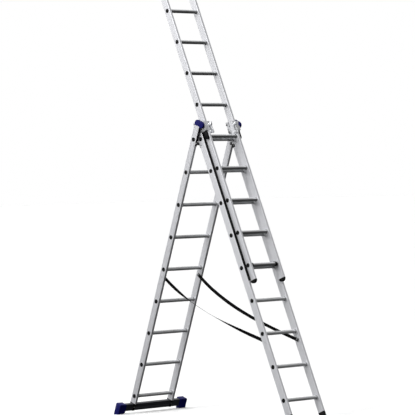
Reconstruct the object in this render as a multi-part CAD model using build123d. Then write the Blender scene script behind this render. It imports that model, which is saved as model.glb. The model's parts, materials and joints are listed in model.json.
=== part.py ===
from build123d import *
import os
from math import cos, pi, radians, sin, tan

# Three-section combination ladder: a base section, a stay section hinged to it, and an
# upper section that slides on the base section's front. Millimetres, +Z up, +X towards the
# climbing side, +Y to the left of someone who faces the ladder from behind the stay.
# The origin lies on the floor, in the middle of the ladder's footprint.

# Driving dimensions
RUNGS = 9
PITCH = 280.0                # rung to rung, along the rails
BASE_LEAN = radians(22.5)    # base rails from the vertical
STAY_LEAN = radians(20.5)    # stay rails from the vertical
BASE_WIDTH = 390.0           # over the rails
STAY_WIDTH = 440.0
UPPER_WIDTH = 344.0
UPPER_STEP = 55.0            # upper rung centres in front of the base ones
RUNGS_OUT = 4                # how far the upper section is raised, in rungs
BASE_TOE = 172.0             # lowest base rung above the floor

RAIL_DEPTH = 60.0
RAIL_WIDTH = 22.0
RAIL_WALL = 1.8
RAIL_CORNER = 3.0
GROOVE_WIDTH = 3.0
GROOVE_DEPTH = 0.8
GROOVE_PLACE = 18.0          # groove centre from the rail's middle

RUNG_R = 15.0                # over the grip ribs
RUNG_ROOT_R = 14.3
RUNG_BORE_R = 12.8
RIBS = 16
RUNG_HOLE_R = 15.1
RUNG_INSET = 0.5             # rung end below the rail's outer face
PLUG_R = 17.5                # the plug's head, on the rail's outer face
PLUG_HEAD = 0.9

BASE_TOP = 150.0             # rail ends above the first rung
STAY_TOP = 118.0
UPPER_TOP = 140.0
BASE_TAIL = 125.0            # rail ends below the last rung
STAY_TAIL = 61.0
UPPER_TAIL = 125.0
END_CAP = 27.0               # rounded caps on the upper rails' lower ends
TOP_CAP = 10.0
INSERT = 28.0                # how far plastic inserts reach into a rail
INSERT_GAP = 0.1

PIVOT_IN = 40.0              # stay pivot from either section's centre plane
PIVOT_DOWN = 23.3            # and below its first rung
PIN_R = 5.0
PIN_FIT = 0.05
EAR_R = 12.0
PLATE = 3.0                  # hinge steel
SHEET = 2.45                 # guide bracket steel
BODY_GAP = 0.05              # between pieces of one section that lie face to face

BAR_HEIGHT = 59.0
BAR_DEPTH = 30.0
BAR_HALF = 329.0
BAR_WALL = 2.5
SADDLE_GAP = 4.0             # rail end to bar
FOOT_HALF = 381.0            # middle to the stabiliser foot's outer face
FOOT_DEPTH = 52.0

BOLT_R = 4.0
BOLT_HOLE_R = 4.15
HEAD_R = 7.0
HEAD = 4.5

STRAP_WIDTH = 28.0
STRAP = 2.0
STRAP_DROP_STAY = 65.0       # strap bolt below the fifth stay rung
STRAP_DROP_BASE = 72.0       # and below the seventh base rung
STRAP_OFF_STAY = 1.8         # strap centre from the rail's inner face
STRAP_OFF_BASE = 2.6
WASHER_GAP = 0.5             # strap face to washer, for the strap's slant

# The strap's free points between its two bolts, as x and height. They hang a little slack.
STRAP_ROUTE = [(-409, 1063.5), (-259, 969.5), (-79, 877.5), (111, 798.5), (301, 731.5), (481, 673.5)]

# Places that follow from the driving dimensions
LENGTH = PITCH * (RUNGS - 1)
FIRST_RUNG = LENGTH * cos(BASE_LEAN) + BASE_TOE


def out_of(lean, x, z):
    """The offset in X and Z of a point in a section that leans back from +X by lean."""
    return x * cos(lean) - z * sin(lean), x * sin(lean) + z * cos(lean)


PIVOT_X, PIVOT_Z = out_of(BASE_LEAN, -PIVOT_IN, -PIVOT_DOWN)
STAY_X, STAY_Z = (a - b for a, b in zip((PIVOT_X, PIVOT_Z), out_of(-STAY_LEAN, PIVOT_IN, -PIVOT_DOWN)))


def reach(lean, start_x, start_z, x):
    """Where the edge at x of a section meets the floor: its X, and how far down the section."""
    down = (FIRST_RUNG + start_z + x * sin(lean)) / cos(lean)
    return start_x + x * cos(lean) + down * sin(lean), down


FRONT = reach(BASE_LEAN, 0, 0, RAIL_DEPTH / 2)[0]
BACK = reach(-STAY_LEAN, STAY_X, STAY_Z, -FOOT_DEPTH / 2)[0]
MIDDLE = (FRONT + BACK) / 2


def section(lean, x, z):
    """A section's plane: origin at its first rung, X across the rails, Z up along them."""
    up = (-sin(lean), 0, cos(lean))
    return Plane(origin=(x - MIDDLE, 0, FIRST_RUNG + z), x_dir=(cos(lean), 0, sin(lean)), z_dir=up)


BASE = section(BASE_LEAN, 0, 0)
STAY = section(-STAY_LEAN, STAY_X, STAY_Z)
UPPER = section(BASE_LEAN, *out_of(BASE_LEAN, UPPER_STEP, PITCH * RUNGS_OUT))
PIVOT = (PIVOT_X - MIDDLE, 0, FIRST_RUNG + PIVOT_Z)
# The upper section's first rung and last rung, as heights in the base section
UPPER_FIRST = PITCH * RUNGS_OUT
HOOK_RUNG = UPPER_FIRST - LENGTH
ABOVE_FLOOR = Pos(0, 0, 2000) * Box(4000, 4000, 4000)


def block(x0, x1, y0, y1, z0, z1):
    """A box between two corners."""
    size = (abs(x1 - x0), abs(y1 - y0), abs(z1 - z0))
    return Pos((x0 + x1) / 2, (y0 + y1) / 2, (z0 + z1) / 2) * Box(*size)


def across(radius, x, z, y0, y1):
    """A cylinder along Y."""
    return Pos(x, (y0 + y1) / 2, z) * Rot(90, 0, 0) * Cylinder(radius, abs(y1 - y0))


def along_x(radius, y, z, x0, x1):
    """A cylinder along X."""
    return Pos((x0 + x1) / 2, y, z) * Rot(0, 90, 0) * Cylinder(radius, abs(x1 - x0))


def side_plate(outline, y0, y1):
    """An outline of (x, z) points, or a sketch of them, as a plate between y0 and y1."""
    face = outline if isinstance(outline, Sketch) else make_face(Polyline(*outline, close=True))
    return Pos(0, (y0 + y1) / 2, 0) * Rot(90, 0, 0) * extrude(face, abs(y1 - y0) / 2, both=True)


def hexagon(radius, x, z, y0, y1):
    """A hexagonal bolt head along Y."""
    return side_plate(Pos(x, z) * RegularPolygon(radius, 6), y0, y1)


def rail_profile(side):
    """A rail's section: a rounded box tube with two grooves in its outer face."""
    profile = RectangleRounded(RAIL_DEPTH, RAIL_WIDTH, RAIL_CORNER)
    hollow = (RAIL_DEPTH - 2 * RAIL_WALL, RAIL_WIDTH - 2 * RAIL_WALL)
    profile -= RectangleRounded(*hollow, RAIL_CORNER - RAIL_WALL)
    for x in (-GROOVE_PLACE, GROOVE_PLACE):
        profile -= Pos(x, side * RAIL_WIDTH / 2) * Rectangle(GROOVE_WIDTH, 2 * GROOVE_DEPTH)
    return profile


def rail(width, top, tail, side, holes=()):
    """One rail of a section, with a hole for every rung and the given bolt holes (x, z)."""
    y = side * (width - RAIL_WIDTH) / 2
    bar = Pos(0, y, -LENGTH - tail) * extrude(rail_profile(side), LENGTH + tail + top)
    for k in range(RUNGS):
        bar -= across(RUNG_HOLE_R, 0, -k * PITCH, y - RAIL_WIDTH, y + RAIL_WIDTH)
    for x, z in holes:
        bar -= across(BOLT_HOLE_R, x, z, y - RAIL_WIDTH, y + RAIL_WIDTH)
    return bar


def rung(width, k):
    """A rung: a round tube with grip ribs along it."""
    step = 2 * pi / RIBS
    points = []
    for rib in range(RIBS):
        for radius, turn in ((RUNG_ROOT_R, -0.3), (RUNG_R, -0.18), (RUNG_R, 0.18), (RUNG_ROOT_R, 0.3)):
            angle = (rib + turn) * step
            points.append((radius * cos(angle), radius * sin(angle)))
    profile = make_face(Polyline(*points, close=True)) - Circle(RUNG_BORE_R)
    half = width / 2 - RUNG_INSET
    return Pos(0, 0, -k * PITCH) * side_plate(Sketch() + profile, -half, half)


def rung_plugs(width):
    """The plastic plugs that close the rungs' ends in the rails' outer faces."""
    solids = []
    for k in range(RUNGS):
        for side in (-1, 1):
            face = side * (width / 2 + BODY_GAP)
            plug = across(PLUG_R, 0, -k * PITCH, face, face + side * PLUG_HEAD)
            plug += across(RUNG_BORE_R - INSERT_GAP, 0, -k * PITCH, face - side * 12, face)
            solids.append(plug)
    return solids


def insert(width, side, end, depth):
    """The part of a cap that goes into a rail's open end, downwards when depth is negative."""
    y = side * (width - RAIL_WIDTH) / 2
    profile = RectangleRounded(RAIL_DEPTH - 2 * RAIL_WALL - 2 * INSERT_GAP,
                               RAIL_WIDTH - 2 * RAIL_WALL - 2 * INSERT_GAP, 1.0)
    return Pos(0, y, min(end, end + depth)) * extrude(profile, abs(depth))


def end_block(width, side, z0, z1, corner=RAIL_CORNER):
    """A block with the rail's outline between two heights."""
    y = side * (width - RAIL_WIDTH) / 2
    profile = RectangleRounded(RAIL_DEPTH, RAIL_WIDTH, corner)
    return Pos(0, y, min(z0, z1)) * extrude(profile, abs(z1 - z0))


def hood_cap(side):
    """A stay rail's domed top cap, carried forward as a hood beside the hinge."""
    outer = side * STAY_WIDTH / 2
    back, front = Pos(-2, 138) * Circle(28), Pos(42, 136) * Circle(25)
    shape = back + front + Pos(20, 145) * Rectangle(46, 36)
    shape += Pos(-15, 129) * Rectangle(30, 22) + Pos(20, 130) * Rectangle(64, 24)
    shape -= Pos(0, STAY_TOP - 20) * Rectangle(2 * (RAIL_DEPTH / 2 + PLATE + 0.2), 40)
    hood = side_plate(shape, outer - side * RAIL_WIDTH, outer)
    return hood + insert(STAY_WIDTH, side, STAY_TOP, -INSERT)


def top_cap(side):
    """An upper rail's flat top cap."""
    cap = end_block(UPPER_WIDTH, side, UPPER_TOP, UPPER_TOP + TOP_CAP)
    return cap + insert(UPPER_WIDTH, side, UPPER_TOP, -INSERT)


def end_cap(side):
    """The rounded plastic shoe on an upper rail's lower end."""
    end = -LENGTH - UPPER_TAIL
    outer = side * UPPER_WIDTH / 2
    inner = outer - side * RAIL_WIDTH
    shoe = across(RAIL_DEPTH / 2, 0, end + RAIL_DEPTH / 2 - END_CAP, inner, outer)
    shoe &= block(-RAIL_DEPTH, RAIL_DEPTH, inner, outer, end - END_CAP, end)
    return shoe + insert(UPPER_WIDTH, side, end, INSERT)


def base_foot(side):
    """A base rail's rubber foot, cut level with the floor."""
    end = -LENGTH - BASE_TAIL
    foot = BASE * end_block(BASE_WIDTH, side, end - 120, end)
    return (foot & ABOVE_FLOOR) + BASE * insert(BASE_WIDTH, side, end, INSERT)


# Hinge between the base and the stay
HINGE_RIVETS = (-50.0,)              # on the base's inner cheek
BASE_PLATE = (-64, 40)               # the base plate's ends
STAY_RIVETS = (100.0, 60.0, 22.0)    # on the stay's edge flange


def ear(x, z, root_x, y0, y1):
    """A rounded hinge ear about the pivot, with its pin hole."""
    plate = across(EAR_R, x, z, y0, y1) + block(root_x, x, y0, y1, z - EAR_R, z + EAR_R)
    plate &= block(root_x, 2 * x, y0, y1, z - EAR_R, z + EAR_R)
    return plate - across(PIN_R + PIN_FIT, x, z, y0 - 9, y1 + 9)


def base_hinge_plate(side):
    """A folded steel plate on the base rail's inner edge and cheek, with two ears."""
    outer, inner = side * BASE_WIDTH / 2, side * (BASE_WIDTH / 2 - RAIL_WIDTH)
    edge = -RAIL_DEPTH / 2 - BODY_GAP
    low, high = BASE_PLATE
    plate = block(edge - PLATE, edge, inner, outer, low, high)
    plate += block(edge - PLATE, edge, inner - side * PLATE, inner, low, -38)
    cheek = inner - side * BODY_GAP
    plate += block(edge - PLATE, -6, cheek - side * (PLATE - BODY_GAP), cheek, low, -38)
    for y in (outer, inner + side * PLATE):
        plate += ear(-PIVOT_IN, -PIVOT_DOWN, edge, y - side * PLATE, y)
    for z in HINGE_RIVETS:
        plate -= across(BOLT_HOLE_R, -16, z, inner - side * 9, inner + side * 9)
    return plate


def stay_hinge_plate(side):
    """A steel strip along the stay rail's inner edge, with two ears."""
    outer, inner = side * STAY_WIDTH / 2, side * (STAY_WIDTH / 2 - RAIL_WIDTH + 0.3)
    edge = RAIL_DEPTH / 2 + BODY_GAP
    plate = block(edge, edge + PLATE, inner, outer, -48, STAY_TOP)
    for y in (outer, inner + side * PLATE):
        plate += ear(PIVOT_IN, -PIVOT_DOWN, edge, y - side * PLATE, y)
    return plate


def guide_shoe(side):
    """A black pad below the guide bracket, outside the upper rail."""
    outline = [(51, 39.5), (79, 39.5), (79, -17), (75, -26), (67, -30), (58, -27), (51, -18)]
    return side_plate(outline, side * (UPPER_WIDTH / 2 + 2), side * (BASE_WIDTH / 2 - 3))


def hinge_pin(side):
    """The pivot bolt through both sections' ears, with a head and a nut."""
    inside = side * (BASE_WIDTH / 2 - RAIL_WIDTH - 0.4)
    outside = side * (STAY_WIDTH / 2 + 0.3)
    pin = across(PIN_R, -PIVOT_IN, -PIVOT_DOWN, inside, outside)
    pin += hexagon(8, -PIVOT_IN, -PIVOT_DOWN, inside - side * 5, inside)
    return pin + across(8, -PIVOT_IN, -PIVOT_DOWN, outside, outside + side * 4)


# Guide bracket on the top of each base rail
GUIDE_BOLTS = ((-19.0, 130.0), (-19.0, 66.0))
WRAP_FRONT = UPPER_STEP + RAIL_DEPTH / 2 + 1
WRAP_LOW, WRAP_HIGH = 40.0, 120.0
LATCH_X, LATCH_Z = WRAP_FRONT + 15.5, 88.0
LATCH_Y = 138.0
LATCH_WIDTH = 8.0
LATCH_HUB_R = 12.0


def guide_bracket(side):
    """A bent steel bracket over the base rail's top that wraps round the upper rail's front."""
    outer = side * (BASE_WIDTH / 2 + BODY_GAP)
    inner = side * (BASE_WIDTH / 2 - RAIL_WIDTH - BODY_GAP)
    skin = side * SHEET
    roof = BASE_TOP + 0.3
    front = WRAP_FRONT + SHEET
    web = [(-26, 45), (27, 45), (34, WRAP_LOW), (front, WRAP_LOW), (front, WRAP_HIGH), (36, WRAP_HIGH),
           (22, roof + SHEET), (-26, roof + SHEET)]
    bracket = side_plate(web, outer, outer + skin)
    bracket += block(-26, 23, inner - skin, inner, 45, roof + SHEET)
    bracket += block(-26, 20, inner - skin, outer + skin, roof, roof + SHEET)
    bracket += block(WRAP_FRONT, front, side * (LATCH_Y - 10), outer + skin, WRAP_LOW, WRAP_HIGH)
    lip = side * (UPPER_WIDTH / 2 - RAIL_WIDTH - 0.6)
    bracket += block(WRAP_FRONT - 10, WRAP_FRONT, lip - skin, lip, WRAP_LOW, WRAP_HIGH)
    for y in (LATCH_Y - LATCH_WIDTH / 2 - 0.5 - SHEET, LATCH_Y + LATCH_WIDTH / 2 + 0.5):
        lug = across(LATCH_HUB_R + 1, LATCH_X, LATCH_Z, side * y, side * (y + SHEET))
        lug += block(front, LATCH_X, side * y, side * (y + SHEET), LATCH_Z - 10, LATCH_Z + 10)
        bracket += lug
    pin_half = LATCH_WIDTH / 2 + 0.5 + SHEET + 1.5
    bracket += across(BOLT_R, LATCH_X, LATCH_Z, side * (LATCH_Y - pin_half), side * (LATCH_Y + pin_half))
    for x, z in GUIDE_BOLTS:
        bracket -= across(BOLT_HOLE_R, x, z, inner - side * 9, outer + side * 9)
    return bracket


def latch_lever(side):
    """A gravity latch: hub, thumb tab, and an arm whose nose lies over an upper rung."""
    arm = [(-7, 0), (9, 0), (8, -30), (12, -66), (4, -74), (-12, -72), (-42, -68), (-42, -58),
           (-12, -54), (-5, -40)]
    tab = [(-4, 8), (8, -4), (17, 8), (18, 15), (13, 19), (6, 17)]
    shape = Sketch() + Circle(LATCH_HUB_R) + make_face(Polyline(*arm, close=True))
    shape += make_face(Polyline(*tab, close=True)) + Pos(3, -70) * Circle(9)
    shape -= Circle(BOLT_R + PIN_FIT)
    y = side * LATCH_Y
    return side_plate(Pos(LATCH_X, LATCH_Z) * shape, y - LATCH_WIDTH / 2, y + LATCH_WIDTH / 2)


# Hooks that rest the upper section on a base rung
HOOK_Y = 133.0
HOOK_WIDTH = 14.0


def rung_hook(side):
    """A plastic hook clipped round the lowest upper rung, over the base rung behind it."""
    shape = Sketch() + Circle(20.5) + Pos(UPPER_STEP, 0) * Circle(19.5)
    shape += Pos(UPPER_STEP / 2, 12.2) * Rectangle(UPPER_STEP, 14.6)
    shape -= Circle(RUNG_R + 0.4)
    shape -= Pos(UPPER_STEP, 0) * Circle(RUNG_R + 0.15)
    shape -= Pos(0, -20 - 8) * Rectangle(70, 40)
    shape -= Pos(24, -20 + 4.9) * Rectangle(24, 40)
    keep = max(shape.faces(), key=lambda face: face.area)
    y = side * HOOK_Y
    hook = side_plate(Sketch() + keep, y - HOOK_WIDTH / 2, y + HOOK_WIDTH / 2)
    return Pos(0, 0, HOOK_RUNG) * hook


SLIDE_STRIP_TOP = 38.0       # above the base's first rung


def slide_strip(side):
    """A black plastic angle on the upper rail that runs on the base rail's front edge."""
    wall = side * (UPPER_WIDTH / 2 + BODY_GAP)
    z0 = HOOK_RUNG - UPPER_TAIL + 5
    near = RAIL_DEPTH / 2 + 0.8
    strip = block(near, near + 2.5, wall, side * (BASE_WIDTH / 2 - 1), z0, SLIDE_STRIP_TOP)
    return strip + block(near, near + 6.0, wall, wall + side * 2.4, z0, SLIDE_STRIP_TOP)


def stabiliser_bar():
    """A box tube across the stay rails' lower ends."""
    top = -LENGTH - STAY_TAIL - SADDLE_GAP
    profile = RectangleRounded(BAR_DEPTH, BAR_HEIGHT, 3) - RectangleRounded(
        BAR_DEPTH - 2 * BAR_WALL, BAR_HEIGHT - 2 * BAR_WALL, 1)
    bar = side_plate(Pos(0, top - BAR_HEIGHT / 2) * profile, -BAR_HALF, BAR_HALF)
    for side in (-1, 1):
        y = side * (STAY_WIDTH - RAIL_WIDTH) / 2
        bar -= along_x(BOLT_HOLE_R, y, top - BAR_HEIGHT / 2, -40, 40)
    return bar


def stabiliser_bracket(side):
    """A saddle between a stay rail's lower end and the bar, with a band round the bar."""
    end = -LENGTH - STAY_TAIL
    top = end - SADDLE_GAP
    y = side * (STAY_WIDTH - RAIL_WIDTH) / 2
    band = RectangleRounded(BAR_DEPTH + 5, BAR_HEIGHT + 5, 4)
    saddle = side_plate(Pos(0, top - BAR_HEIGHT / 2) * band, y - RAIL_WIDTH / 2, y + RAIL_WIDTH / 2)
    seat = [(-30, end), (30, end), (30, end - 8), (17, end - 16), (-17, end - 16), (-30, end - 8)]
    saddle += side_plate(seat, y - RAIL_WIDTH / 2, y + RAIL_WIDTH / 2)
    hollow = RectangleRounded(BAR_DEPTH + 0.1, BAR_HEIGHT + 0.1, 3)
    saddle -= side_plate(Pos(0, top - BAR_HEIGHT / 2) * hollow, y - RAIL_WIDTH, y + RAIL_WIDTH)
    saddle += insert(STAY_WIDTH, side, end, INSERT)
    return saddle - along_x(BOLT_HOLE_R, y, top - BAR_HEIGHT / 2, -40, 40)


def stabiliser_bolt(side):
    """A bolt through the bar and its band."""
    y = side * (STAY_WIDTH - RAIL_WIDTH) / 2
    z = -LENGTH - STAY_TAIL - SADDLE_GAP - BAR_HEIGHT / 2
    face = BAR_DEPTH / 2 + 2.6
    bolt = along_x(BOLT_R, y, z, -face, face)
    return bolt + along_x(HEAD_R, y, z, face, face + HEAD) + along_x(HEAD_R, y, z, -face - HEAD, -face)


def stabiliser_foot(side):
    """A plastic elbow on the bar's end that stands on the floor."""
    top = -LENGTH - STAY_TAIL - SADDLE_GAP
    floor = top - 130
    elbow = [(308, top + 3), (316, top + 6), (FOOT_HALF - 9, top + 7), (FOOT_HALF - 2, top + 4),
             (FOOT_HALF, top - 4), (FOOT_HALF, floor), (326, floor), (322, top - 74), (308, top - 68)]
    face = make_face(Polyline(*[(side * y, z) for y, z in elbow], close=True))
    foot = extrude(Plane.YZ * face, FOOT_DEPTH / 2, both=True)
    hollow = RectangleRounded(BAR_DEPTH + 0.1, BAR_HEIGHT + 0.1, 3)
    foot -= side_plate(Pos(0, top - BAR_HEIGHT / 2) * hollow, 0, side * (BAR_HALF + 0.3))
    return (STAY * foot) & ABOVE_FLOOR


def washer_bolt(face, side, x, z, gap):
    """A strap's bolt: a washer and a hexagonal head on the rail's inner face."""
    y0 = face - side * gap
    bolt = across(13, x, z, y0, y0 - side * 1.6) + hexagon(8, x, z, y0 - side * 1.6, y0 - side * 6)
    return bolt + across(BOLT_R, x, z, y0, face + side * 8)


# Bolt places on the rails
STAY_STRAP_Z = -4 * PITCH - STRAP_DROP_STAY
BASE_STRAP_Z = -6 * PITCH - STRAP_DROP_BASE
BASE_HOLES = GUIDE_BOLTS + ((0, BASE_STRAP_Z),) + tuple((-16, z) for z in HINGE_RIVETS)


def base_bolts(side):
    """The guide bracket's bolts, the hinge plate's rivets and the strap's bolt on one rail."""
    inner = side * (BASE_WIDTH / 2 - RAIL_WIDTH)
    solids = []
    for x, z in GUIDE_BOLTS:
        head = inner - side * (SHEET + 2 * BODY_GAP)
        bolt = hexagon(HEAD_R, x, z, head - side * HEAD, head)
        solids.append(bolt + across(BOLT_R, x, z, head, side * (BASE_WIDTH / 2 + SHEET)))
    for z in HINGE_RIVETS:
        head = inner - side * (PLATE + BODY_GAP)
        rivet = across(6, -16, z, head - side * 2, head)
        solids.append(rivet + across(BOLT_R, -16, z, head, inner + side * 6))
    return solids + [washer_bolt(inner, side, 0, BASE_STRAP_Z, STRAP_OFF_BASE + STRAP / 2 + WASHER_GAP)]


def stay_bolts(side):
    """The hinge strip's rivets and the strap's bolt on one rail."""
    inner = side * (STAY_WIDTH / 2 - RAIL_WIDTH)
    y = side * (STAY_WIDTH - RAIL_WIDTH) / 2
    face = RAIL_DEPTH / 2 + BODY_GAP + PLATE
    solids = [along_x(5, y, z, face, face + 2) for z in STAY_RIVETS]
    return solids + [washer_bolt(inner, side, 0, STAY_STRAP_Z, STRAP_OFF_STAY + STRAP / 2 + WASHER_GAP)]


def strap_line(side):
    """The strap's centre line: its points, and the radius of the arc at each inner one."""
    start = STAY.from_local_coords((0, side * (STAY_WIDTH / 2 - RAIL_WIDTH - STRAP_OFF_STAY), STAY_STRAP_Z))
    finish = BASE.from_local_coords((0, side * (BASE_WIDTH / 2 - RAIL_WIDTH - STRAP_OFF_BASE), BASE_STRAP_Z))
    points = [start]
    for x, z in STRAP_ROUTE:
        share = (x - start.X) / (finish.X - start.X)
        points.append(Vector(x, start.Y + share * (finish.Y - start.Y), z))
    points.append(finish)
    radii = []
    for before, here, after in zip(points, points[1:], points[2:]):
        turn = (here - before).get_angle(after - here)
        shorter = min((here - before).length, (after - here).length)
        radii.append(0.45 * shorter / tan(radians(turn) / 2))
    return points, radii


def strap(side):
    """A flat webbing strap with its width upright, and a hole at each end for its bolt."""
    points, radii = strap_line(side)
    line = FilletPolyline(*points, radius=radii)
    start = line % 0
    level = Vector(points[-1].X - points[0].X, points[-1].Y - points[0].Y, 0)
    across_it = level.cross(Vector(0, 0, 1)).normalized()
    profile = Plane(origin=points[0], x_dir=across_it, z_dir=start) * Rectangle(STRAP, STRAP_WIDTH)
    ribbon = sweep(profile, path=line)
    for tail, heading in ((points[0], start * -1), (points[-1], line % 1)):
        place = Plane(origin=tail, x_dir=across_it, z_dir=heading)
        ribbon += place * Pos(0, 0, 8) * Box(STRAP, STRAP_WIDTH, 16.02)
    for tail in (points[0], points[-1]):
        ribbon -= Pos(tail.X, tail.Y, tail.Z) * Rot(90, 0, 0) * Cylinder(BOLT_HOLE_R, 30)
    return ribbon


def save(name, solids):
    """Write one sub-part, a shape or a list of them, to its own file."""
    pieces = solids if isinstance(solids, list) else [solids]
    flat = [solid for piece in pieces for solid in piece.solids()]
    export_step(flat[0] if len(flat) == 1 else Compound(children=flat), f"parts/{name}.step")


def save_section(name, plane, width, top, tail, holes):
    """A section's rails, rungs and rung plugs."""
    for side, hand in ((-1, "right"), (1, "left")):
        save(f"{name}_rail_{hand}", plane * rail(width, top, tail, side, holes))
    for k in range(RUNGS):
        save(f"{name}_rung_{k + 1}", plane * rung(width, k))
    save(f"{name}_rung_plugs", [plane * plug for plug in rung_plugs(width)])


def pair(maker, plane):
    """The same piece on both sides, as a list of solids in place."""
    found = []
    for side in (-1, 1):
        made = maker(side)
        found += [plane * solid for solid in (made if isinstance(made, list) else [made])]
    return found


os.makedirs("parts", exist_ok=True)
save_section("base", BASE, BASE_WIDTH, BASE_TOP, BASE_TAIL, BASE_HOLES)
save_section("stay", STAY, STAY_WIDTH, STAY_TOP, STAY_TAIL, ((0, STAY_STRAP_Z),))
save_section("upper", UPPER, UPPER_WIDTH, UPPER_TOP, UPPER_TAIL, ())

for SIDE, HAND in ((-1, "right"), (1, "left")):
    save(f"base_foot_{HAND}", base_foot(SIDE))
    save(f"guide_bracket_{HAND}", BASE * guide_bracket(SIDE))
    save(f"latch_lever_{HAND}", BASE * latch_lever(SIDE))
    save(f"rung_hook_{HAND}", BASE * rung_hook(SIDE))
    save(f"stabiliser_foot_{HAND}", stabiliser_foot(SIDE))
    save(f"strap_{HAND}", strap(SIDE))

save("base_hinge_plates", pair(base_hinge_plate, BASE) + pair(guide_shoe, BASE))
save("base_bolts", pair(base_bolts, BASE))
save("hinge_pins", pair(hinge_pin, BASE))
save("stay_hinge_plates", pair(stay_hinge_plate, STAY))
save("stay_bolts", pair(stay_bolts, STAY))
save("stay_top_caps", pair(hood_cap, STAY))
save("stabiliser_bar", STAY * stabiliser_bar())
save("stabiliser_brackets", pair(stabiliser_bracket, STAY))
save("stabiliser_bolts", pair(stabiliser_bolt, STAY))
save("slide_strips", pair(slide_strip, BASE))
save("upper_top_caps", pair(top_cap, UPPER))
save("upper_end_caps", pair(end_cap, UPPER))
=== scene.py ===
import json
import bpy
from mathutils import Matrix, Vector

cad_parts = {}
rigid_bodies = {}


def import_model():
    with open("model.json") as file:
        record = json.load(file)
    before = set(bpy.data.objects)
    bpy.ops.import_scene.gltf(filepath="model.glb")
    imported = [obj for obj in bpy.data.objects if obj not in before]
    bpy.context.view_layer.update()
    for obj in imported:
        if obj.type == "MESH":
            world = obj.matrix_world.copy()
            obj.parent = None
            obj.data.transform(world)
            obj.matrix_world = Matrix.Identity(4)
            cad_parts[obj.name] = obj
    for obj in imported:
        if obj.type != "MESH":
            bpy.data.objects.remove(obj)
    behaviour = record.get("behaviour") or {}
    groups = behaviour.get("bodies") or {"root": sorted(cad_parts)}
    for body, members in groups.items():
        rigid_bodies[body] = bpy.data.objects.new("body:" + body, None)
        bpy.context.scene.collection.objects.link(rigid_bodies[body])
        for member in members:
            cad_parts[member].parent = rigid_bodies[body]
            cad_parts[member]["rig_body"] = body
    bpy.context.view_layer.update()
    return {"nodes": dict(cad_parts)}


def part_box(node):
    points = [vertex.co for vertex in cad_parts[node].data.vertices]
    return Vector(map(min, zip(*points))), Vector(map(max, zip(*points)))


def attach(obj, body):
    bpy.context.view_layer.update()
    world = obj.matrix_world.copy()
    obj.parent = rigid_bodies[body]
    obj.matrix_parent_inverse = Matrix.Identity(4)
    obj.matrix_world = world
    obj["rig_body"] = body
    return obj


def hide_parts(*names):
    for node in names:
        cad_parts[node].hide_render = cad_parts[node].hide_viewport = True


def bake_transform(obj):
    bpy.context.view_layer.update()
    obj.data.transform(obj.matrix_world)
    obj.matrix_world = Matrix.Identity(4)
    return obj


bl_info = {
    "name": "Combination Ladder",
    "version": (1, 0, 0),
    "blender": (4, 5, 0),
    "location": "View3D > Sidebar > Ladder",
    "description": "Finishes the combination ladder's pieces around its fixed frame",
    "category": "Object",
}

from math import cos, pi, radians, sin

import bmesh
import bpy
from mathutils import Matrix, Vector

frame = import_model()
SIDES = ((-1, "right"), (1, "left"))
RUNGS = 9

# Details that no user setting changes: lengths in metres, and two plain factors
RIB_ROOT, RIB_CREST = 0.0144, 0.0149      # radii between which a rung's shade turns from groove to rib
MERGE = 0.00002                           # distance at which loose vertices are the same
SLIT_LOW, SLIT_HIGH, SLIT = 0.010, 0.040, 0.0025     # heights of a base foot's slits, and their width
SLIT_PULL = 0.985                         # factor on the foot's depth inside a slit
PANEL_RIM, PANEL_SINK = 0.009, 0.002      # rim of a stabiliser foot's recessed panels, and their depth
PANEL_PULL = 0.92                         # factor on the foot's depth at a side panel
FOOT_END = 0.39                           # beyond this, a stabiliser foot's outer end
CATCH_X, CATCH_Z = (0.004, 0.021), (0.100, 0.146)    # release catch, in the base section's axes
CATCH_INSET, CATCH_DEPTH = 0.0248, 0.005  # from the rail's outer face, and the catch's own depth


# ---------------------------------------------------------------- sections

def middle(node):
    """The centre of a frame node's box."""
    low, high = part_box(node)
    return (low + high) / 2


def section_matrix(name):
    """A section's own axes: origin at its first rung, Z up along the rails, X towards the climber."""
    first, last = middle(f"{name}_rung_1"), middle(f"{name}_rung_{RUNGS}")
    up = (first - last).normalized()
    y = Vector((0, 1, 0))
    x = y.cross(up)
    turn = Matrix((x, y, up)).transposed().to_4x4()
    return Matrix.Translation(first) @ turn


SECTIONS = {name: section_matrix(name) for name in ("base", "stay", "upper")}
PITCH = (middle("base_rung_1") - middle("base_rung_2")).length
WIDTHS = {name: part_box(f"{name}_rail_left")[1].y * 2 for name in SECTIONS}


# ---------------------------------------------------------------- user settings

def length(name, description, default):
    """A length that a user may change."""
    return bpy.props.FloatProperty(name=name, description=description, default=default, unit="LENGTH",
                                   precision=4, min=0.0)


def colour(name, description, default):
    """A colour that a user may change."""
    return bpy.props.FloatVectorProperty(name=name, description=description, default=default,
                                         subtype="COLOR", size=3, min=0.0, max=1.0)


class LadderSizes(bpy.types.PropertyGroup):
    """Sizes of the ladder's modelled details."""

    plug_radius: length("Plug radius", "Rim of a rung plug", 0.0175)
    plug_rise: length("Plug rise", "How far a rung plug stands out of its rung's end", 0.0009)
    collar_radius: length("Collar radius", "Swaged bead where a rung meets its rail", 0.0172)
    collar_width: length("Collar width", "Width of the swaged bead", 0.003)
    strap_width: length("Strap width", "Width of the webbing", 0.028)
    strap_thickness: length("Strap thickness", "Thickness of the webbing", 0.002)
    sheet_bevel: length("Sheet bevel", "Rounding of bent steel edges", 0.0006)
    plastic_bevel: length("Plastic bevel", "Rounding of moulded edges", 0.0016)
    foot_bevel: length("Foot bevel", "Rounding of the stabiliser feet", 0.005)
    tread_gap: length("Tread gap", "Distance between the ribs of a foot", 0.008)


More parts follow.
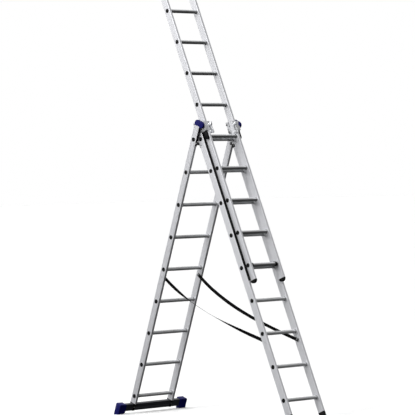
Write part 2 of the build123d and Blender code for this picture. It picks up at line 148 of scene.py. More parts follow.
class LadderColours(bpy.types.PropertyGroup):
    """Colours of the ladder's finishes."""

    rail: colour("Rail", "Extruded aluminium of the rails", (0.80, 0.805, 0.835))
    rung: colour("Rung", "Ribbed aluminium of the rungs", (0.66, 0.67, 0.68))
    black: colour("Black plastic", "Plugs, caps, hooks and catches", (0.003, 0.003, 0.0032))
    blue: colour("Blue plastic", "Stabiliser feet and domed caps", (0.002, 0.0028, 0.100))
    graphite: colour("Graphite", "Stabiliser bar", (0.036, 0.038, 0.048))
    zinc: colour("Zinc", "Guide brackets, latch levers and fasteners", (0.74, 0.75, 0.77))
    steel: colour("Black steel", "Hinge plates", (0.005, 0.005, 0.006))
    rubber: colour("Rubber", "Base feet", (0.006, 0.006, 0.006))
    webbing: colour("Webbing", "Restraint straps", (0.0016, 0.0016, 0.0018))
    floor: colour("Floor", "Studio floor", (0.97, 0.97, 0.97))


class LadderView(bpy.types.PropertyGroup):
    """Where the camera stands and what it looks at."""

    azimuth: bpy.props.FloatProperty(name="Azimuth", description="Turn round the ladder",
                                     default=radians(45.916), subtype="ANGLE")
    elevation: bpy.props.FloatProperty(name="Elevation", description="Camera angle above the horizon",
                                       default=radians(0.528), subtype="ANGLE")
    roll: bpy.props.FloatProperty(name="Roll", description="Camera roll", default=radians(-1.461),
                                  subtype="ANGLE")
    distance: length("Distance", "Camera to the point that it looks at", 21.57)
    aim: bpy.props.FloatVectorProperty(name="Aim", description="The point that the camera looks at",
                                       default=(-0.161, 0.0, 1.6888), subtype="TRANSLATION", size=3)
    lens: bpy.props.FloatProperty(name="Lens", description="Focal length", default=230.12, unit="CAMERA")
    below: bpy.props.FloatProperty(name="Light from below", default=0.03, min=0.0, max=1.0, subtype="FACTOR",
                                   description="Brightness of the studio's lower half")
    contrast: bpy.props.FloatProperty(name="Contrast", description="How much less light comes from the front",
                                      default=0.62, min=0.0, max=1.0, subtype="FACTOR")


# ---------------------------------------------------------------- shader arithmetic

class Wire:
    """A node's output that takes part in arithmetic by adding Math nodes."""

    def __init__(self, shading, socket):
        self.shading = shading
        self.socket = socket

    def math(self, operation, *values):
        """A Math node on wires and numbers."""
        sockets = {f"_{place}": value for place, value in enumerate(values)}
        return self.shading.node("ShaderNodeMath", {"operation": operation}, **sockets)

    def __add__(self, other):
        return self.math("ADD", self, other)

    def __radd__(self, other):
        return self.math("ADD", other, self)

    def __sub__(self, other):
        return self.math("SUBTRACT", self, other)

    def __rsub__(self, other):
        return self.math("SUBTRACT", other, self)

    def __mul__(self, other):
        return self.math("MULTIPLY", self, other)

    def __rmul__(self, other):
        return self.math("MULTIPLY", other, self)

    def __pow__(self, other):
        return self.math("POWER", self, other)

    def __abs__(self):
        return self.math("ABSOLUTE", self)

    def step(self, low, high):
        """A smooth ramp from 0 at low to 1 at high."""
        return self.shading.node("ShaderNodeMapRange", {"interpolation_type": "SMOOTHSTEP"},
                                 _0=self, _1=low, _2=high)

    def wave(self, length):
        """A ripple between 0 and 1 with the given length."""
        return self.math("SINE", self * (2 * pi / length)) * 0.5 + 0.5

    def from_nearest(self, length):
        """The signed distance to the nearest multiple of length."""
        return self.math("WRAP", self, length / 2, -length / 2)


class Shading:
    """A node tree, for a material or for the world."""

    def __init__(self, tree):
        self.tree = tree

    def node(self, kind, settings=None, output=0, **sockets):
        """Any node: its settings first, then its inputs' values or links, by name or as _0, _1 by number."""
        node = self.tree.nodes.new(kind)
        for key, value in (settings or {}).items():
            setattr(node, key, value)
        for key, value in sockets.items():
            self.feed(node.inputs[int(key[1:]) if key[1:].isdigit() else key], value)
        return Wire(self, node.outputs[output])

    def feed(self, socket, value):
        """Give an input a link or a plain value."""
        if isinstance(value, Wire):
            self.tree.links.new(value.socket, socket)
        else:
            socket.default_value = value

    def axes(self, vector):
        """The three parts of a vector."""
        split = self.node("ShaderNodeSeparateXYZ", _0=vector).socket.node
        return [Wire(self, output) for output in split.outputs]

    def mix(self, factor, first, second):
        """A colour between two colours or wires."""
        pair = [value if isinstance(value, Wire) else (*value, 1.0) for value in (first, second)]
        return self.node("ShaderNodeMix", {"data_type": "RGBA"}, output=2, _0=factor, _6=pair[0], _7=pair[1])


class Finish(Shading):
    """A material's node tree, its coordinates and its shader."""

    def __init__(self, name):
        self.material = bpy.data.materials.new(name)
        self.material.use_nodes = True
        super().__init__(self.material.node_tree)
        self.shader = self.tree.nodes["Principled BSDF"]

    def place(self, lean=0.0, origin=(0, 0, 0), scale=(1, 1, 1)):
        """Object coordinates measured from origin along a section's own axes."""
        here = self.node("ShaderNodeTexCoord", output=3)
        moved = self.node("ShaderNodeVectorMath", {"operation": "SUBTRACT"}, _0=here, _1=origin)
        turned = self.node("ShaderNodeVectorRotate", {"rotation_type": "Y_AXIS"}, Vector=moved, Angle=lean)
        return self.node("ShaderNodeVectorMath", {"operation": "MULTIPLY"}, _0=turned, _1=scale)

    def noise(self, vector, scale, detail=3.0, roughness=0.55):
        """Fractal noise over a vector."""
        return self.node("ShaderNodeTexNoise", Vector=vector, Scale=scale, Detail=detail, Roughness=roughness)

    def bump(self, height, distance, strength=1.0):
        """Raise the surface by height, where 1 stands for distance in metres."""
        self.feed(self.shader.inputs["Normal"],
                  self.node("ShaderNodeBump", Height=height, Distance=distance, Strength=strength))

    def set(self, **sockets):
        """Set the shader's inputs, by name with _ for a space, and return the material."""
        for key, value in sockets.items():
            self.feed(self.shader.inputs[key.replace("_", " ")], value)
        return self.material


def tint(shade, factor):
    """A colour made lighter or darker."""
    return tuple(min(1.0, channel * factor) for channel in shade)


LEANS = {name: -matrix.to_euler().y for name, matrix in SECTIONS.items()}


def extruded_aluminium(name, shade):
    """Mill-finished extrusion: die lines along the rail, soft cloudy patches, fine scratches."""
    finish = Finish(f"{name}_rail_extrusion")
    origin = tuple(SECTIONS[name].translation)
    lines = finish.noise(finish.place(LEANS[name], origin, (900, 900, 1.6)), 1.0, 4.0)
    clouds = finish.noise(finish.place(LEANS[name], origin, (14, 14, 3)), 1.0, 3.0)
    scratch = finish.noise(finish.place(LEANS[name], origin, (60, 60, 700)), 1.0, 2.0)
    marks = scratch.step(0.66, 0.74)
    worn = finish.mix(lines.step(0.25, 0.75) * 0.55, tint(shade, 0.86), tint(shade, 1.08))
    patchy = finish.mix(clouds.step(0.35, 0.8) * 0.35, worn, tint(shade, 0.88))
    finish.bump(lines * 0.6 + marks * 0.4, 0.00012, 0.6)
    return finish.set(Base_Color=patchy, Metallic=0.55, Roughness=0.34 + clouds * 0.16 + marks * 0.08)


def ribbed_aluminium(name, shade, top_highlight, underside_shade):
    """Rungs: ribs lighter than their grooves, with painted shade in the grooves, a painted highlight on the
    top, painted shade on the underside, and shoe scuffs on the tread. The last two arguments scale the colour
    on the top and the underside."""
    finish = Finish(f"{name}_rung_extrusion")
    origin = tuple(SECTIONS[name].translation)
    x, y, z = finish.axes(finish.place(LEANS[name], origin))
    off = z.from_nearest(PITCH)
    radius = (x * x + off * off) ** 0.5
    crest = radius.step(RIB_ROOT, RIB_CREST)
    lines = finish.noise(finish.place(LEANS[name], origin, (700, 6, 700)), 1.0, 3.0)
    scuffs = finish.noise(finish.place(LEANS[name], origin, (120, 260, 120)), 1.0, 4.0)
    tread = (1 - abs(y).step(0.05, 0.15)) * off.step(0.0, 0.012)
    worn = tread * scuffs.step(0.48, 0.62)
    # Painted light: groove roots darker than the crests as painted shade, the top lighter as a painted
    # highlight, the underside darker as painted shade
    ribbed = finish.mix(crest, tint(shade, top_highlight * 0.65), tint(shade, top_highlight))
    body = finish.mix(off.step(-0.005, 0.004), tint(shade, underside_shade), ribbed)
    streaked = finish.mix(lines.step(0.3, 0.7) * 0.25, body, tint(shade, 0.7))
    scuffed = finish.mix(worn * 0.5, streaked, (0.26, 0.25, 0.24))
    finish.bump(lines + scuffs * 0.5, 0.0001, 0.6)
    return finish.set(Base_Color=scuffed, Metallic=0.6, Roughness=0.3 + worn * 0.25 + (1 - crest) * 0.15)


def moulded_plastic(name, shade, gloss=0.42, grain=1500.0, dust=0.10):
    """Moulded plastic: a fine spark-eroded grain, uneven gloss and a little dust."""
    finish = Finish(name)
    here = finish.place()
    fine = finish.noise(here, grain, 2.0)
    broad = finish.noise(here, 35.0, 4.0)
    pale = tuple(0.6 * channel + 0.03 for channel in shade)
    dusty = finish.mix(broad.step(0.5, 0.8) * dust, tint(shade, 1.0), pale)
    speckled = finish.mix(fine.step(0.55, 0.75) * 0.25, dusty, tint(shade, 1.6))
    finish.bump(fine, 0.00012, 0.7)
    return finish.set(Base_Color=speckled, Roughness=gloss + broad * 0.16, Specular_IOR_Level=0.16)


def plated_steel(name, shade):
    """Zinc plate: brushed under a faint cloudy bloom, with small dull spots."""
    finish = Finish(name)
    here = finish.place()
    brushed = finish.noise(finish.place(0, (0, 0, 0), (40, 1800, 1800)), 1.0, 3.0)
    bloom = finish.noise(here, 60.0, 3.0)
    spots = finish.noise(here, 420.0, 2.0).step(0.64, 0.72)
    base = finish.mix(bloom.step(0.3, 0.7), tint(shade, 0.84), tint(shade, 1.04))
    spotted = finish.mix(spots * 0.5, base, tint(shade, 0.6))
    finish.bump(brushed, 0.00008, 0.6)
    return finish.set(Base_Color=spotted, Metallic=0.9, Roughness=0.32 + bloom * 0.14 + spots * 0.15)


def painted_metal(name, shade, gloss=0.38):
    """Powder coat: orange peel, with faint rubbed places."""
    finish = Finish(name)
    here = finish.place()
    peel = finish.noise(here, 620.0, 2.0)
    rubbed = finish.noise(here, 24.0, 5.0).step(0.62, 0.8)
    base = finish.mix(rubbed * 0.35, shade, tuple(0.6 * channel + 0.008 for channel in shade))
    finish.bump(peel, 0.0002, 0.6)
    return finish.set(Base_Color=base, Roughness=gloss + rubbed * 0.18, Specular_IOR_Level=0.12)


def brushed_bar(name, shade):
    """The stabiliser's anodised bar: fine lines along its length."""
    finish = Finish(name)
    lines = finish.noise(finish.place(0, (0, 0, 0), (1100, 5, 1100)), 1.0, 3.0)
    patches = finish.noise(finish.place(), 18.0, 3.0)
    base = finish.mix(lines.step(0.3, 0.7) * 0.6, tint(shade, 0.8), tint(shade, 1.5))
    finish.bump(lines, 0.00008, 0.6)
    return finish.set(Base_Color=base, Metallic=0.35, Roughness=0.38 + patches * 0.15)


TWILL, THREAD = 0.0022, 0.0016   # the webbing's spacings along and across


def woven_webbing(name, shade, width):
    """Webbing: a herringbone of threads across and along the strap, on its own UV map in metres."""
    finish = Finish(name)
    along, across, _ = finish.axes(finish.node("ShaderNodeUVMap", {"uv_map": "weave"}))
    zigzag = abs(across.from_nearest(width / 2))
    threads = (along + zigzag).wave(TWILL) * (across.wave(THREAD) * 0.5 + 0.5)
    edge = abs(across).step(width * 0.40, width * 0.44)
    fuzz = finish.noise(finish.place(), 2600.0, 2.0)
    base = finish.mix(threads * 0.75 + fuzz * 0.2, tint(shade, 0.5), tint(shade, 3.2))
    bordered = finish.mix(edge * 0.5, base, tint(shade, 2.2))
    finish.bump(threads * 0.8 + fuzz * 0.3, 0.0004, 0.9)
    return finish.set(Base_Color=bordered, Roughness=0.72 + fuzz * 0.2, Specular_IOR_Level=0.06)


def pale_floor(name, shade):
    """A matt studio floor, very slightly uneven in tone."""
    finish = Finish(name)
    soft = finish.noise(finish.place(), 0.35, 2.0)
    return finish.set(Base_Color=finish.mix(soft, tint(shade, 0.985), shade), Roughness=0.9)


# ---------------------------------------------------------------- modelling helpers

def deselect():
    """Leave edit mode and select nothing."""
    if bpy.context.object and bpy.context.object.mode != "OBJECT":
        bpy.ops.object.mode_set(mode="OBJECT")
    bpy.ops.object.select_all(action="DESELECT")


def take(piece):
    """Make one object the only selected and active one."""
    deselect()
    piece.select_set(True)
    bpy.context.view_layer.objects.active = piece
    return piece


def apply_place(piece):
    """Bake a piece's place, turn and scale into its mesh."""
    take(piece)
    bpy.ops.object.transform_apply(location=True, rotation=True, scale=True)
    return piece


def add_box(name, low, high):
    """A box between two corners."""
    deselect()
    low, high = Vector(low), Vector(high)
    bpy.ops.mesh.primitive_cube_add(size=1, location=(low + high) / 2, scale=high - low)
    bpy.context.object.name = name
    return apply_place(bpy.context.object)


def add_disc(name, radius, start, end, sides=32):
    """A cylinder between two points."""
    deselect()
    start, end = Vector(start), Vector(end)
    turn = (end - start).to_track_quat("Z", "Y").to_euler()
    bpy.ops.mesh.primitive_cylinder_add(vertices=sides, radius=radius, depth=(end - start).length,
                                        location=(start + end) / 2, rotation=turn)
    bpy.context.object.name = name
    return apply_place(bpy.context.object)


def add_ring(name, major, minor, centre, sides=32, round_sides=8):
    """A torus round the Y axis."""
    deselect()
    bpy.ops.mesh.primitive_torus_add(major_radius=major, minor_radius=minor, major_segments=sides,
                                     minor_segments=round_sides, location=centre, rotation=(pi / 2, 0, 0))
    bpy.context.object.name = name
    return apply_place(bpy.context.object)


def pick(piece, test):
    """In edit mode, select the faces that pass a test of centre and normal."""
    bpy.ops.mesh.select_mode(type="FACE")
    bpy.ops.mesh.select_all(action="DESELECT")
    mesh = bmesh.from_edit_mesh(piece.data)
    for face in mesh.faces:
        if test(face.calc_center_median(), face.normal):
            face.select_set(True)
    bmesh.update_edit_mesh(piece.data)


def modify(piece, kind, **settings):
    """Add a modifier with settings and apply it."""
    take(piece)
    modifier = piece.modifiers.new(kind.title(), kind)
    for key, value in settings.items():
        setattr(modifier, key, value)
    bpy.ops.object.modifier_apply(modifier=modifier.name)
    return piece


def round_edges(piece, width, segments=2, angle=35):
    """Bevel a piece's sharp edges and smooth its shading."""
    modify(piece, "BEVEL", width=width, segments=segments, limit_method="ANGLE",
           angle_limit=radians(angle), use_clamp_overlap=True)
    take(piece)
    bpy.ops.object.shade_smooth_by_angle(angle=radians(angle))
    return piece


def merged_copy(node, name):
    """A copy of a frame node's mesh with its loose triangles merged into whole faces."""
    piece = frame["nodes"][node].copy()
    piece.data = frame["nodes"][node].data.copy()
    piece.name = name
    piece.parent = None
    for key in list(piece.keys()):
        del piece[key]
    bpy.context.scene.collection.objects.link(piece)
    take(piece)
    bpy.ops.object.mode_set(mode="EDIT")
    bpy.ops.mesh.select_all(action="SELECT")
    bpy.ops.mesh.remove_doubles(threshold=MERGE)
    bpy.ops.mesh.dissolve_limited(angle_limit=radians(0.5))
    bpy.ops.object.mode_set(mode="OBJECT")
    piece.data.materials.clear()
    return piece


def join(pieces, name):
    """Several objects as one piece."""
    take(pieces[0])
    for piece in pieces:
        piece.select_set(True)
    bpy.ops.object.join()
    pieces[0].name = name
    pieces[0].data.name = name
    return pieces[0]


def copy_at(piece, matrix):
    """A copy of a piece with its own mesh, moved by a matrix."""
    again = piece.copy()
    again.data = piece.data.copy()
    bpy.context.scene.collection.objects.link(again)
    again.data.transform(matrix)
    if matrix.determinant() < 0:
        again.data.flip_normals()
    return again


def hand_over(piece, body, slot, material, *nodes):
    """Give a finished piece its material, its body, and the frame nodes that it stands for."""
    piece.data.materials.clear()
    piece.data.materials.append(material)
    if body:
        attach(piece, body)
    if nodes:
        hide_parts(*nodes)
    return piece


def paint(nodes, material):
    """Give frame nodes a material."""
    for node in nodes:
        slots = frame["nodes"][node].data.materials
        slots.clear()
        slots.append(material)


def body_of(node):
    """The body that a frame node rides on."""
    return frame["nodes"][node]["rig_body"]


MATERIALS = {}


def material(key):
    """The ladder's finishes, each made once."""
    shades = bpy.context.scene.ladder_colours
    sizes = bpy.context.scene.ladder_sizes
    makers = {
        "base_rail": lambda: extruded_aluminium("base", shades.rail),
        "stay_rail": lambda: extruded_aluminium("stay", tint(shades.rail, 0.95)),
        "upper_rail": lambda: extruded_aluminium("upper", shades.rail),
        # Each section's rungs get their own factors: a painted highlight on the tops and painted shade on the
        # undersides
        "base_rung": lambda: ribbed_aluminium("base", shades.rung, 1.45, 0.75),
        "stay_rung": lambda: ribbed_aluminium("stay", shades.rung, 1.2, 0.42),
        "upper_rung": lambda: ribbed_aluminium("upper", shades.rung, 1.4, 0.18),
        # Collars: the rung colour darkened to paint the shade where each rung meets its rail
        "collar": lambda: plated_steel("swaged_collar_painted_shade", tint(shades.rung, 0.26)),
        "black": lambda: moulded_plastic("black_plastic", shades.black),
        # Painted shadow: black strips in the gap between the base's and the upper section's rails, a dark
        # sheet where the gap is shaded
        "strip": lambda: moulded_plastic("dark_strip_painted_shadow", shades.black, gloss=0.3, grain=900,
                                         dust=0.05),
        "blue": lambda: moulded_plastic("blue_plastic", shades.blue, gloss=0.45, grain=1200, dust=0.06),
        "rubber": lambda: moulded_plastic("foot_rubber", shades.rubber, gloss=0.62, grain=800, dust=0.3),
        "zinc": lambda: plated_steel("zinc_plate", shades.zinc),
        "bolt": lambda: plated_steel("dark_bolt_plate", tint(shades.zinc, 0.28)),
        "steel": lambda: painted_metal("black_powder_coat", shades.steel),
        "graphite": lambda: brushed_bar("graphite_bar", shades.graphite),
        "webbing": lambda: woven_webbing("strap_webbing", shades.webbing, sizes.strap_width),
        "floor": lambda: pale_floor("studio_floor", shades.floor),
    }
    if key not in MATERIALS:
        MATERIALS[key] = makers[key]()
    return MATERIALS[key]


# ---------------------------------------------------------------- operators

class LADDER_OT_aluminium(bpy.types.Operator):
    """Give the rails and rungs their metal finishes"""

    bl_idname = "ladder.aluminium"
    bl_label = "Finish Aluminium"

    def execute(self, context):
        for name in SECTIONS:
            paint([f"{name}_rail_{hand}" for _, hand in SIDES], material(f"{name}_rail"))
            paint([f"{name}_rung_{k + 1}" for k in range(RUNGS)], material(f"{name}_rung"))
        return {"FINISHED"}


class LADDER_OT_plugs(bpy.types.Operator):
    """Model the dished rung plugs in every rail"""

    bl_idname = "ladder.plugs"
    bl_label = "Add Rung Plugs"

    def execute(self, context):
        sizes = context.scene.ladder_sizes
        rise, radius = sizes.plug_rise, sizes.plug_radius
        plug = add_disc("plug", radius, (0, -0.004, 0), (0, rise, 0), 40)
        bpy.ops.object.mode_set(mode="EDIT")
        pick(plug, lambda centre, normal: normal.y > 0.9)
        bpy.ops.mesh.inset(thickness=radius * 0.16)
        bpy.ops.mesh.inset(thickness=radius * 0.12)
        bpy.ops.transform.translate(value=(0, -rise * 1.5, 0))
        bpy.ops.mesh.inset(thickness=radius * 0.34)
        bpy.ops.mesh.inset(thickness=radius * 0.08)
        bpy.ops.transform.translate(value=(0, rise * 1.2, 0))
        bpy.ops.object.mode_set(mode="OBJECT")
        round_edges(plug, 0.00018, 2, 25)
        for name, section in SECTIONS.items():
            copies = []
            for k in range(RUNGS):
                for side, _ in SIDES:
                    face = WIDTHS[name] / 2
                    place = Matrix.Translation((0, side * face, -k * PITCH))
                    copies.append(copy_at(plug, section @ place @ Matrix.Diagonal((1, side, 1, 1))))
            plugs = join(copies, f"{name}_plug_set")
            hand_over(plugs, name, "black_plastic", material("black"), f"{name}_rung_plugs")
        bpy.data.objects.remove(plug)
        return {"FINISHED"}


class LADDER_OT_collars(bpy.types.Operator):
    """Model the swaged beads that hold each rung in its rails"""

    bl_idname = "ladder.collars"
    bl_label = "Add Rung Collars"

    def execute(self, context):
        sizes = context.scene.ladder_sizes
        minor = sizes.collar_width / 2
        ring = add_ring("collar", sizes.collar_radius - minor, minor, (0, 0, 0), 40, 10)
        take(ring)
        bpy.ops.object.shade_smooth()
        for name, section in SECTIONS.items():
            rail_low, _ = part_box(f"{name}_rail_left")
            inner = rail_low.y - minor * 0.9
            copies = []
            for k in range(RUNGS):
                for side, _ in SIDES:
                    copies.append(copy_at(ring, section @ Matrix.Translation((0, side * inner, -k * PITCH))))
            collars = join(copies, f"{name}_rung_collars")
            # The collars' dark colour is painted shade at the rung joints
            hand_over(collars, name, "ribbed_aluminium", material("collar"))
        bpy.data.objects.remove(ring)
        return {"FINISHED"}


class LADDER_OT_caps(bpy.types.Operator):
    """Round the moulded caps of the rails' ends"""

    bl_idname = "ladder.caps"
    bl_label = "Add End Caps"

    def execute(self, context):
        bevel = context.scene.ladder_sizes.plastic_bevel
        for node, slot, key in (("stay_top_caps", "blue_plastic", "blue"),
                                ("upper_top_caps", "black_plastic", "black"),
                                ("upper_end_caps", "black_plastic", "black")):
            cap = round_edges(merged_copy(node, f"{node}_moulded"), bevel, 3, 40)
            hand_over(cap, body_of(node), slot, material(key), node)
        return {"FINISHED"}


class LADDER_OT_base_feet(bpy.types.Operator):
    """Model the base's ribbed rubber feet"""

    bl_idname = "ladder.base_feet"
    bl_label = "Add Base Feet"

    def execute(self, context):
        sizes = context.scene.ladder_sizes
        for side, hand in SIDES:
            node = f"base_foot_{hand}"
            foot = merged_copy(node, f"{node}_rubber")
            round_edges(foot, sizes.plastic_bevel, 3, 40)
            low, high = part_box(node)
            slits = []
            level = SLIT_LOW
            while level < SLIT_HIGH:
                slits.append(level)
                level += sizes.tread_gap
            take(foot)
            bpy.ops.object.mode_set(mode="EDIT")
            for level in slits:
                for edge in (level, level + SLIT):
                    bpy.ops.mesh.select_all(action="SELECT")
                    bpy.ops.mesh.bisect(plane_co=(0, 0, edge), plane_no=(0, 0, 1))
            pick(foot, lambda centre, normal: abs(normal.z) < 0.75 and any(
                level < centre.z < level + SLIT for level in slits))
            bpy.ops.transform.resize(value=(SLIT_PULL, 1, 1), center_override=((low.x + high.x) / 2, 0, 0))
            bpy.ops.object.mode_set(mode="OBJECT")
            hand_over(foot, body_of(node), "rubber", material("rubber"), node)
        return {"FINISHED"}


class LADDER_OT_stabiliser(bpy.types.Operator):
    """Model the stabiliser's elbow feet, bar and saddles"""

    bl_idname = "ladder.stabiliser"
    bl_label = "Add Stabiliser"

    def execute(self, context):
        sizes = context.scene.ladder_sizes
        section = SECTIONS["stay"]
        for side, hand in SIDES:
            node = f"stabiliser_foot_{hand}"
            foot = merged_copy(node, f"{node}_elbow")
            foot.data.transform(section.inverted())
            take(foot)
            bpy.ops.object.mode_set(mode="EDIT")
            pick(foot, lambda centre, normal: abs(normal.x) > 0.99)
            bpy.ops.mesh.inset(thickness=PANEL_RIM, use_boundary=True)
            bpy.ops.transform.resize(value=(PANEL_PULL, 1, 1), center_override=(0, 0, 0))
            pick(foot, lambda centre, normal: side * normal.y > 0.95 and side * centre.y > FOOT_END)
            bpy.ops.mesh.inset(thickness=PANEL_RIM, use_boundary=True)
            bpy.ops.transform.translate(value=(0, -side * PANEL_SINK, 0))
            bpy.ops.object.mode_set(mode="OBJECT")
            foot.data.transform(section)
            round_edges(foot, sizes.foot_bevel * 0.5, 3, 30)
            hand_over(foot, "stay", "blue_plastic", material("blue"), node)
        bar = round_edges(merged_copy("stabiliser_bar", "stabiliser_bar_anodised"), 0.0004, 1, 40)
        hand_over(bar, "stay", "dark_bar", material("graphite"), "stabiliser_bar")
        saddles = round_edges(merged_copy("stabiliser_brackets", "stabiliser_saddles"), 0.0008, 2, 40)
        hand_over(saddles, "stay", "black_plastic", material("black"), "stabiliser_brackets")
        return {"FINISHED"}


class LADDER_OT_steelwork(bpy.types.Operator):
    """Round the edges of the guide brackets and hinge plates"""

    bl_idname = "ladder.steelwork"
    bl_label = "Add Steelwork"

    def execute(self, context):
        bevel = context.scene.ladder_sizes.sheet_bevel
        jobs = [(f"guide_bracket_{hand}", "zinc_steel", "zinc") for _, hand in SIDES]
        jobs += [("base_hinge_plates", "black_steel", "steel"), ("stay_hinge_plates", "black_steel", "steel")]
        for node, slot, key in jobs:
            plate = round_edges(merged_copy(node, f"{node}_pressed"), bevel, 2, 40)
            hand_over(plate, body_of(node), slot, material(key), node)
        return {"FINISHED"}


class LADDER_OT_fasteners(bpy.types.Operator):
    """Round the bolts, rivets and hinge pins"""

    bl_idname = "ladder.fasteners"
    bl_label = "Add Fasteners"

    def execute(self, context):
        for node in ("base_bolts", "stay_bolts", "stabiliser_bolts", "hinge_pins"):
            bolts = round_edges(merged_copy(node, f"{node}_turned"), 0.0007, 2, 35)
            hand_over(bolts, body_of(node), "zinc_steel", material("bolt"), node)
        return {"FINISHED"}


class LADDER_OT_catches(bpy.types.Operator):
    """Model the release catches on the guide brackets' inner plates"""

    bl_idname = "ladder.catches"
    bl_label = "Add Release Catches"

    def execute(self, context):
        bevel = context.scene.ladder_sizes.plastic_bevel
        for side, hand in SIDES:
            inner = side * (WIDTHS["base"] / 2 - CATCH_INSET)
            catch = add_box(f"guide_catch_{hand}", (CATCH_X[0], inner - side * CATCH_DEPTH, CATCH_Z[0]),
                            (CATCH_X[1], inner, CATCH_Z[1]))
            bpy.ops.object.mode_set(mode="EDIT")
            pick(catch, lambda centre, normal: normal.z > 0.9)
            bpy.ops.transform.resize(value=(0.6, 1, 1), center_override=(0.013, 0, 0))
            pick(catch, lambda centre, normal: side * normal.y < -0.9)
            bpy.ops.mesh.inset(thickness=0.0028)
            bpy.ops.transform.translate(value=(0, side * 0.0016, 0))
            bpy.ops.mesh.inset(thickness=0.0022)
            bpy.ops.transform.translate(value=(0, -side * 0.0028, 0))
            bpy.ops.mesh.select_all(action="SELECT")
            bpy.ops.mesh.normals_make_consistent(inside=False)
            bpy.ops.object.mode_set(mode="OBJECT")
            round_edges(catch, bevel * 0.5, 2, 40)
            catch.data.transform(SECTIONS["base"])
            hand_over(catch, "base", "black_plastic", material("black"))
        return {"FINISHED"}


class LADDER_OT_latches(bpy.types.Operator):
    """Round the latch levers and rung hooks, and the black slide strips that paint the shadow between the
    base and upper rails
    """

    bl_idname = "ladder.latches"
    bl_label = "Add Latches And Hooks"

    def execute(self, context):
        bevel = context.scene.ladder_sizes.plastic_bevel
        for _, hand in SIDES:
            node = f"latch_lever_{hand}"
            lever = round_edges(merged_copy(node, f"{node}_pressed"), bevel * 0.5, 3, 40)
            hand_over(lever, body_of(node), "zinc_steel", material("zinc"), node)
            node = f"rung_hook_{hand}"
            hook = round_edges(merged_copy(node, f"{node}_moulded"), bevel, 3, 40)
            hand_over(hook, body_of(node), "black_plastic", material("black"), node)
        # These black strips stand in for the shadow in the gap between the base and upper rails
        strips = round_edges(merged_copy("slide_strips", "slide_strips_painted_shadow"), 0.0005, 2, 40)
        hand_over(strips, "upper", "black_plastic", material("strip"), "slide_strips")
        return {"FINISHED"}


# The straps' routes from the stay's bolt to the base's, for the left side, in metres
STRAP_ROUTE = [
    (-0.4914, 0.1962, 1.1305), (-0.409, 0.1943, 1.0635), (-0.259, 0.191, 0.9695), (-0.079, 0.1869, 0.8775),
    (0.111, 0.1826, 0.7985), (0.301, 0.1783, 0.7315), (0.481, 0.1742, 0.6735), (0.6514, 0.1704, 0.6229),
]
STRAP_TAIL = 0.012           # webbing past each bolt
EDGE_ON = -66                # degrees that the right strap turns in its middle
RIPPLE = 10                  # and that the left one turns to and fro


def smooth(low, high, value):
    """0 below low, 1 above high, and smooth between."""
    share = min(1.0, max(0.0, (value - low) / (high - low)))
    return share * share * (3 - 2 * share)


def route_line(points):
    """The points of a smooth NURBS line that has the given control points."""
    data = bpy.data.curves.new("route", "CURVE")
    data.dimensions = "3D"
    spline = data.splines.new("NURBS")
    spline.points.add(len(points) - 1)
    for place, point in zip(spline.points, points):
        place.co = (*point, 1.0)
    spline.order_u = 3
    spline.use_endpoint_u = True
    spline.resolution_u = 24
    route = bpy.data.objects.new("route", data)
    bpy.context.scene.collection.objects.link(route)
    line = bpy.data.meshes.new_from_object(route)
    found = [vertex.co.copy() for vertex in line.vertices]
    bpy.data.objects.remove(route)
    bpy.data.meshes.remove(line)
    return found


def ribbon(name, line, width, thickness, turned):
    """A flat closed strap along a line. turned(share) is its twist from upright at a share of its length."""
    first, last = line[0] - line[1], line[-1] - line[-2]
    ends = [line[0] + first.normalized() * STRAP_TAIL, *line, line[-1] + last.normalized() * STRAP_TAIL]
    side = (line[-1] - line[0]).cross(Vector((0, 0, 1))).normalized()
    total = sum((b - a).length for a, b in zip(ends, ends[1:]))
    soft = 0.25 * thickness
    ring = [(width / 2, -soft), (width / 2, soft), (width / 2 - soft, 2 * soft), (0, 2 * soft),
            (-width / 2 + soft, 2 * soft), (-width / 2, soft), (-width / 2, -soft),
            (-width / 2 + soft, -2 * soft), (0, -2 * soft), (width / 2 - soft, -2 * soft)]
    mesh = bmesh.new()
    weave = mesh.loops.layers.uv.new("weave")
    rings, gone = [], []
    run = 0.0
    for k, point in enumerate(ends):
        run += (point - ends[k - 1]).length if k else 0.0
        ahead = ends[min(k + 1, len(ends) - 1)] - ends[max(k - 1, 0)]
        tangent = ahead.normalized()
        wide = tangent.cross(side).normalized()
        thick = wide.cross(tangent)
        angle = turned(run / total)
        u = wide * cos(angle) + thick * sin(angle)
        v = thick * cos(angle) - wide * sin(angle)
        rings.append([mesh.verts.new(point + u * a + v * b) for a, b in ring])
        gone.append(run)
    count = len(ring)
    for k in range(len(rings) - 1):
        for j in range(count):
            corners = ((k, j), (k, (j + 1) % count), (k + 1, (j + 1) % count), (k + 1, j))
            face = mesh.faces.new([rings[a][b] for a, b in corners])
            face.smooth = True
            for loop, (a, b) in zip(face.loops, corners):
                loop[weave].uv = (gone[a], ring[b][0])
    for k, order in ((0, -1), (-1, 1)):
        face = mesh.faces.new(rings[k][::order])
        for loop in face.loops:
            loop[weave].uv = (gone[k], 0.0)
    bmesh.ops.recalc_face_normals(mesh, faces=mesh.faces)
    data = bpy.data.meshes.new(name)
    mesh.to_mesh(data)
    mesh.free()
    piece = bpy.data.objects.new(name, data)
    bpy.context.scene.collection.objects.link(piece)
    return piece


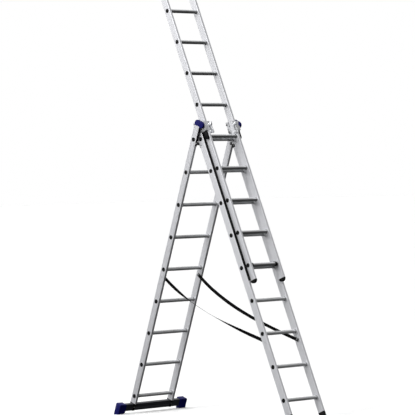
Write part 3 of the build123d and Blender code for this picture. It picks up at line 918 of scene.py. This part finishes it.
class LADDER_OT_straps(bpy.types.Operator):
    """Model the two webbing straps between the stay and the base"""

    bl_idname = "ladder.straps"
    bl_label = "Add Straps"

    def execute(self, context):
        sizes = context.scene.ladder_sizes
        for side, hand in SIDES:
            points = [Vector((x, side * y, z)) for x, y, z in STRAP_ROUTE]
            line = route_line(points)
            if side < 0:
                def turned(share):
                    return radians(EDGE_ON) * (smooth(0.10, 0.36, share) - smooth(0.48, 0.92, share))
            else:
                def turned(share):
                    return radians(RIPPLE) * sin(2 * pi * share)
            strap = ribbon(f"strap_{hand}_webbing", line, sizes.strap_width, sizes.strap_thickness, turned)
            hand_over(strap, None, "webbing", material("webbing"), f"strap_{hand}")
            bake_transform(strap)
        return {"FINISHED"}


FLOOR_HALF = 200.0           # half the floor's width
KEY_PLACE, KEY_TARGET, KEY_POWER = (0.2, -4.6, 5.4), (0, 0, 1.6), 150


def aim_at(thing, place, target, roll=0.0):
    """Stand a camera or light at a place, facing a target."""
    thing.location = place
    facing = (Vector(target) - Vector(place)).to_track_quat("-Z", "Y")
    thing.rotation_mode = "QUATERNION"
    thing.rotation_quaternion = facing @ Matrix.Rotation(roll, 3, "Z").to_quaternion()


class LADDER_OT_stage(bpy.types.Operator):
    """Set up the floor, the sky, the key light and the camera"""

    bl_idname = "ladder.stage"
    bl_label = "Set The Stage"

    def execute(self, context):
        view = context.scene.ladder_view
        floor = add_box("studio_floor", (-FLOOR_HALF, -FLOOR_HALF, -0.02), (FLOOR_HALF, FLOOR_HALF, 0.0))
        floor.data.materials.append(material("floor"))
        floor.visible_diffuse = False
        floor.visible_glossy = False
        world = bpy.data.worlds.new("studio_sky")
        context.scene.world = world
        world.use_nodes = True
        sky = Shading(world.node_tree)
        east, north, height = sky.axes(sky.node("ShaderNodeTexCoord"))
        soft = 1.02 - east * view.contrast - north * (view.contrast * 0.7)
        light = height.step(-0.02, 0.10) * soft + view.below
        tone = sky.node("ShaderNodeLightPath") * (1.0 - light) + light
        sky.feed(world.node_tree.nodes["Background"].inputs["Strength"], tone)
        sky.feed(world.node_tree.nodes["Background"].inputs["Color"], (1.0, 1.0, 1.0, 1.0))
        lamp_data = bpy.data.lights.new("key_light", "AREA")
        lamp_data.size = 1.0
        lamp_data.energy = KEY_POWER
        lamp = bpy.data.objects.new("key_light", lamp_data)
        context.scene.collection.objects.link(lamp)
        aim_at(lamp, KEY_PLACE, KEY_TARGET)
        camera_data = bpy.data.cameras.new("camera")
        camera_data.lens = view.lens
        camera_data.clip_end = 2 * FLOOR_HALF
        camera = bpy.data.objects.new("camera", camera_data)
        context.scene.collection.objects.link(camera)
        back = Vector((sin(view.azimuth) * cos(view.elevation), -cos(view.azimuth) * cos(view.elevation),
                       sin(view.elevation)))
        aim_at(camera, Vector(view.aim) + back * view.distance, view.aim, view.roll)
        context.scene.camera = camera
        context.scene.view_settings.view_transform = "Standard"
        return {"FINISHED"}


class LADDER_PT_panel(bpy.types.Panel):
    """The ladder's pieces, sizes and colours"""

    bl_idname = "LADDER_PT_panel"
    bl_label = "Combination Ladder"
    bl_space_type = "VIEW_3D"
    bl_region_type = "UI"
    bl_category = "Ladder"

    def draw(self, context):
        for group in (context.scene.ladder_sizes, context.scene.ladder_colours, context.scene.ladder_view):
            box = self.layout.box()
            for name in group.__annotations__:
                box.prop(group, name)
        for step in STEPS:
            self.layout.operator(step.bl_idname)


STEPS = (LADDER_OT_stage, LADDER_OT_straps, LADDER_OT_aluminium, LADDER_OT_plugs, LADDER_OT_collars,
         LADDER_OT_caps, LADDER_OT_base_feet, LADDER_OT_stabiliser, LADDER_OT_steelwork,
         LADDER_OT_fasteners, LADDER_OT_catches, LADDER_OT_latches)
GROUPS = {"ladder_sizes": LadderSizes, "ladder_colours": LadderColours, "ladder_view": LadderView}


def register():
    """Add the classes and their settings to Blender."""
    for group in (*GROUPS.values(), *STEPS, LADDER_PT_panel):
        bpy.utils.register_class(group)
    for name, group in GROUPS.items():
        setattr(bpy.types.Scene, name, bpy.props.PointerProperty(type=group))


def unregister():
    """Take them out again."""
    for name in GROUPS:
        delattr(bpy.types.Scene, name)
    for group in (LADDER_PT_panel, *reversed(STEPS), *reversed(GROUPS.values())):
        bpy.utils.unregister_class(group)


def main():
    """Build every piece."""
    register()
    for step in STEPS:
        verb = step.bl_idname.split(".")[1]
        getattr(bpy.ops.ladder, verb)()


if __name__ == "__main__":
    main()
